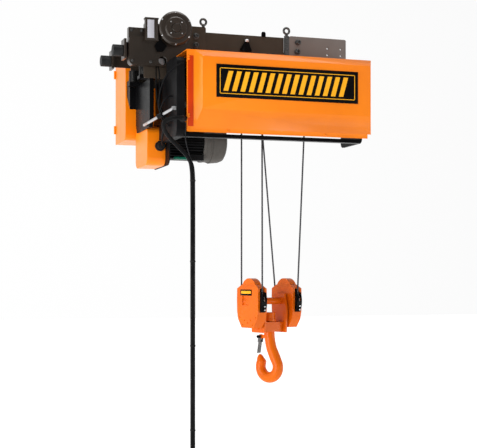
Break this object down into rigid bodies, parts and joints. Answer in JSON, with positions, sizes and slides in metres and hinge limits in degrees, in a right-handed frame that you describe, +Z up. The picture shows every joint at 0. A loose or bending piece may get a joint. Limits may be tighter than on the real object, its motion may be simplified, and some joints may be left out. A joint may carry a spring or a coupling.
{
  "type": "electric wire rope hoist",
  "caption": "Monorail electric wire rope hoist with motor trolley, covered drum, four rope falls, twin sheave hook block and pendant control.",
  "frame": {"origin": "middle of the underside of the beam flange that the trolley runs on, midway between the two wheel axles", "axes": "+X along the beam towards the end away from the gearbox, +Y towards the control box, +Z up"},
  "size_m": [1.421, 1.087, 2.87],
  "materials": {
    "bronze_paint": "satin",
    "black_paint": "satin",
    "orange_paint": "semi gloss",
    "bare_steel": "machined",
    "black_iron": "satin",
    "grey_iron": "satin",
    "black_rubber": "matt",
    "rope_steel": "greased",
    "cable_rubber": "satin",
    "yellow_plastic": "matt",
    "white_plastic": "gloss",
    "black_plastic": "matt",
    "red_plastic": "gloss"
  },
  "bodies": {
    "trolley_hoist": {"near_plate_left": "bronze_paint", "near_plate_middle": "bronze_paint", "near_plate_right": "bronze_paint", "far_side_plate": "bronze_paint", "bolts_and_screws": "bare_steel", "lifting_eyes": "bare_steel", "wheel_axles": "bare_steel", "end_frame_left": "black_paint", "end_frame_right": "black_paint", "bumpers": "black_rubber", "bumper_brackets": "bronze_paint", "travel_gearcase": "bronze_paint", "travel_motor": "bronze_paint", "travel_motor_cover": "bronze_paint", "travel_terminal_box": "bronze_paint", "gearbox_housing": "black_iron", "drum_frame": "black_paint", "drum_cover": "orange_paint", "nameplate": "black_paint", "sheave_crossbeam": "black_paint", "hoist_motor_body": "black_iron", "motor_fan_cover": "grey_iron", "brake_cover": "orange_paint", "tie_rod": "black_paint", "control_box": "orange_paint", "contactor_panel": "bare_steel", "cable_glands": "black_plastic", "pendant_cable": "cable_rubber", "harness_cable": "cable_rubber", "pendant_body": "yellow_plastic", "rope_falls": "rope_steel"},
    "drum": {"drum": "bare_steel", "rope_winding": "rope_steel"},
    "rope_guide": {"rope_guide": "bronze_paint"},
    "upper_sheave": {"upper_sheave": "bare_steel"},
    "motor_rotor": {"motor_rotor": "bare_steel"},
    "near_wheel_left": {"near_wheel_left": "bare_steel"},
    "near_wheel_right": {"near_wheel_right": "bare_steel"},
    "far_wheel_left": {"far_wheel_left": "bare_steel"},
    "far_wheel_right": {"far_wheel_right": "bare_steel"},
    "travel_pinion": {"travel_pinion": "bare_steel"},
    "guide_roller_near_left": {"guide_roller_near_left": "bare_steel"},
    "guide_roller_far_left": {"guide_roller_far_left": "bare_steel"},
    "guide_roller_near_right": {"guide_roller_near_right": "bare_steel"},
    "guide_roller_far_right": {"guide_roller_far_right": "bare_steel"},
    "control_box_door": {"control_box_door": "orange_paint"},
    "button_up": {"button_up": "white_plastic"},
    "button_down": {"button_down": "black_plastic"},
    "button_left": {"button_left": "white_plastic"},
    "button_right": {"button_right": "black_plastic"},
    "stop_button": {"stop_button": "red_plastic"},
    "hook_block": {"block_frame": "orange_paint", "block_covers": "orange_paint", "rope_guards": "black_paint"},
    "block_sheave_a": {"block_sheave_a": "bare_steel"},
    "block_sheave_b": {"block_sheave_b": "bare_steel"},
    "crosshead": {"crosshead": "orange_paint"},
    "hook": {"hook": "orange_paint", "hook_nut": "orange_paint"},
    "hook_latch": {"hook_latch": "bare_steel"}
  },
  "joints": [
    {"name": "lift", "type": "slide", "parent": "trolley_hoist", "child": "hook_block", "axis": [0, 0, 1], "range_m": [-5.5, 0.4], "deforming": ["rope_falls"]},
    {"name": "drum_spin", "type": "hinge", "parent": "trolley_hoist", "child": "drum", "pos_m": [0.13, -0.3, -0.14], "axis": [1, 0, 0], "range_deg": [-10962, 798]},
    {"name": "rope_guide_travel", "type": "slide", "parent": "trolley_hoist", "child": "rope_guide", "axis": [1, 0, 0], "range_m": [-0.352, 0.027]},
    {"name": "upper_sheave_spin", "type": "hinge", "parent": "trolley_hoist", "child": "upper_sheave", "pos_m": [0.197, -0.025, -0.14], "axis": [0.9563, -0.2924, 0], "range_deg": [-450, 6100]},
    {"name": "block_sheave_a_spin", "type": "hinge", "parent": "hook_block", "child": "block_sheave_a", "pos_m": [0.13359, -0.03742, -1.27], "axis": [0.9563, 0.2924, 0], "range_deg": [-230, 3050]},
    {"name": "block_sheave_b_spin", "type": "hinge", "parent": "hook_block", "child": "block_sheave_b", "pos_m": [0.37841, 0.03742, -1.27], "axis": [0.9563, 0.2924, 0], "range_deg": [-670, 9150]},
    {"name": "motor_spin", "type": "hinge", "parent": "trolley_hoist", "child": "motor_rotor", "pos_m": [-0.2, 0.086, -0.336], "axis": [1, 0, 0], "continuous": true},
    {"name": "crosshead_tilt", "type": "hinge", "parent": "hook_block", "child": "crosshead", "pos_m": [0.256, 0, -1.42], "axis": [0.9563, 0.2924, 0], "range_deg": [-10, 10]},
    {"name": "hook_swivel", "type": "hinge", "parent": "crosshead", "child": "hook", "pos_m": [0.256, 0, -1.5], "axis": [0, 0, 1], "continuous": true},
    {"name": "latch_open", "type": "hinge", "parent": "hook", "child": "hook_latch", "pos_m": [0.22133, 0.0514, -1.482], "axis": [-0.829, -0.5592, 0], "range_deg": [0, 20], "stiffness_Nm_per_rad": 0.5, "springref_deg": -11.46},
    {"name": "near_wheel_left_spin", "type": "hinge", "parent": "trolley_hoist", "child": "near_wheel_left", "pos_m": [-0.45, -0.07, 0.0715], "axis": [0, 1, 0], "continuous": true},
    {"name": "near_wheel_right_spin", "type": "hinge", "parent": "trolley_hoist", "child": "near_wheel_right", "pos_m": [0.45, -0.07, 0.0715], "axis": [0, 1, 0], "continuous": true},
    {"name": "far_wheel_left_spin", "type": "hinge", "parent": "trolley_hoist", "child": "far_wheel_left", "pos_m": [-0.45, 0.07, 0.0715], "axis": [0, 1, 0], "continuous": true},
    {"name": "far_wheel_right_spin", "type": "hinge", "parent": "trolley_hoist", "child": "far_wheel_right", "pos_m": [0.45, 0.07, 0.0715], "axis": [0, 1, 0], "continuous": true},
    {"name": "travel_shaft_spin", "type": "hinge", "parent": "trolley_hoist", "child": "travel_pinion", "pos_m": [-0.387, -0.2, 0.246], "axis": [0, 1, 0], "continuous": true},
    {"name": "guide_roller_near_left_spin", "type": "hinge", "parent": "trolley_hoist", "child": "guide_roller_near_left", "pos_m": [-0.532, -0.128, 0.035], "axis": [0, 0, 1], "continuous": true},
    {"name": "guide_roller_far_left_spin", "type": "hinge", "parent": "trolley_hoist", "child": "guide_roller_far_left", "pos_m": [-0.532, 0.128, 0.035], "axis": [0, 0, 1], "continuous": true},
    {"name": "guide_roller_near_right_spin", "type": "hinge", "parent": "trolley_hoist", "child": "guide_roller_near_right", "pos_m": [0.632, -0.128, 0.035], "axis": [0, 0, 1], "continuous": true},
    {"name": "guide_roller_far_right_spin", "type": "hinge", "parent": "trolley_hoist", "child": "guide_roller_far_right", "pos_m": [0.632, 0.128, 0.035], "axis": [0, 0, 1], "continuous": true},
    {"name": "door_open", "type": "hinge", "parent": "trolley_hoist", "child": "control_box_door", "pos_m": [-0.563, 0.526, -0.059], "axis": [0, 0, 1], "range_deg": [0, 110]},
    {"name": "button_up_press", "type": "slide", "parent": "trolley_hoist", "child": "button_up", "axis": [0, 1, 0], "range_m": [0, 0.003], "stiffness_N_per_m": 400, "springref_m": -0.001},
    {"name": "button_down_press", "type": "slide", "parent": "trolley_hoist", "child": "button_down", "axis": [0, 1, 0], "range_m": [0, 0.003], "stiffness_N_per_m": 400, "springref_m": -0.001},
    {"name": "button_left_press", "type": "slide", "parent": "trolley_hoist", "child": "button_left", "axis": [0, 1, 0], "range_m": [0, 0.003], "stiffness_N_per_m": 400, "springref_m": -0.001},
    {"name": "button_right_press", "type": "slide", "parent": "trolley_hoist", "child": "button_right", "axis": [0, 1, 0], "range_m": [0, 0.003], "stiffness_N_per_m": 400, "springref_m": -0.001},
    {"name": "stop_button_press", "type": "slide", "parent": "trolley_hoist", "child": "stop_button", "axis": [0, 1, 0], "range_m": [0, 0.003], "stiffness_N_per_m": 400, "springref_m": -0.001}
  ],
  "couplings": [
    {"joint": "drum_spin", "follows": "lift", "rad_per_m": 34.783},
    {"joint": "rope_guide_travel", "follows": "lift", "ratio": 0.063662},
    {"joint": "upper_sheave_spin", "follows": "lift", "rad_per_m": -19.231},
    {"joint": "block_sheave_a_spin", "follows": "lift", "rad_per_m": -9.6154},
    {"joint": "block_sheave_b_spin", "follows": "lift", "rad_per_m": -28.846},
    {"joint": "motor_spin", "follows": "lift", "rad_per_m": -834.78},
    {"joint": "near_wheel_right_spin", "follows": "near_wheel_left_spin", "ratio": 1},
    {"joint": "far_wheel_left_spin", "follows": "near_wheel_left_spin", "ratio": 1},
    {"joint": "far_wheel_right_spin", "follows": "near_wheel_left_spin", "ratio": 1},
    {"joint": "travel_shaft_spin", "follows": "near_wheel_left_spin", "ratio": 6}
  ]
}
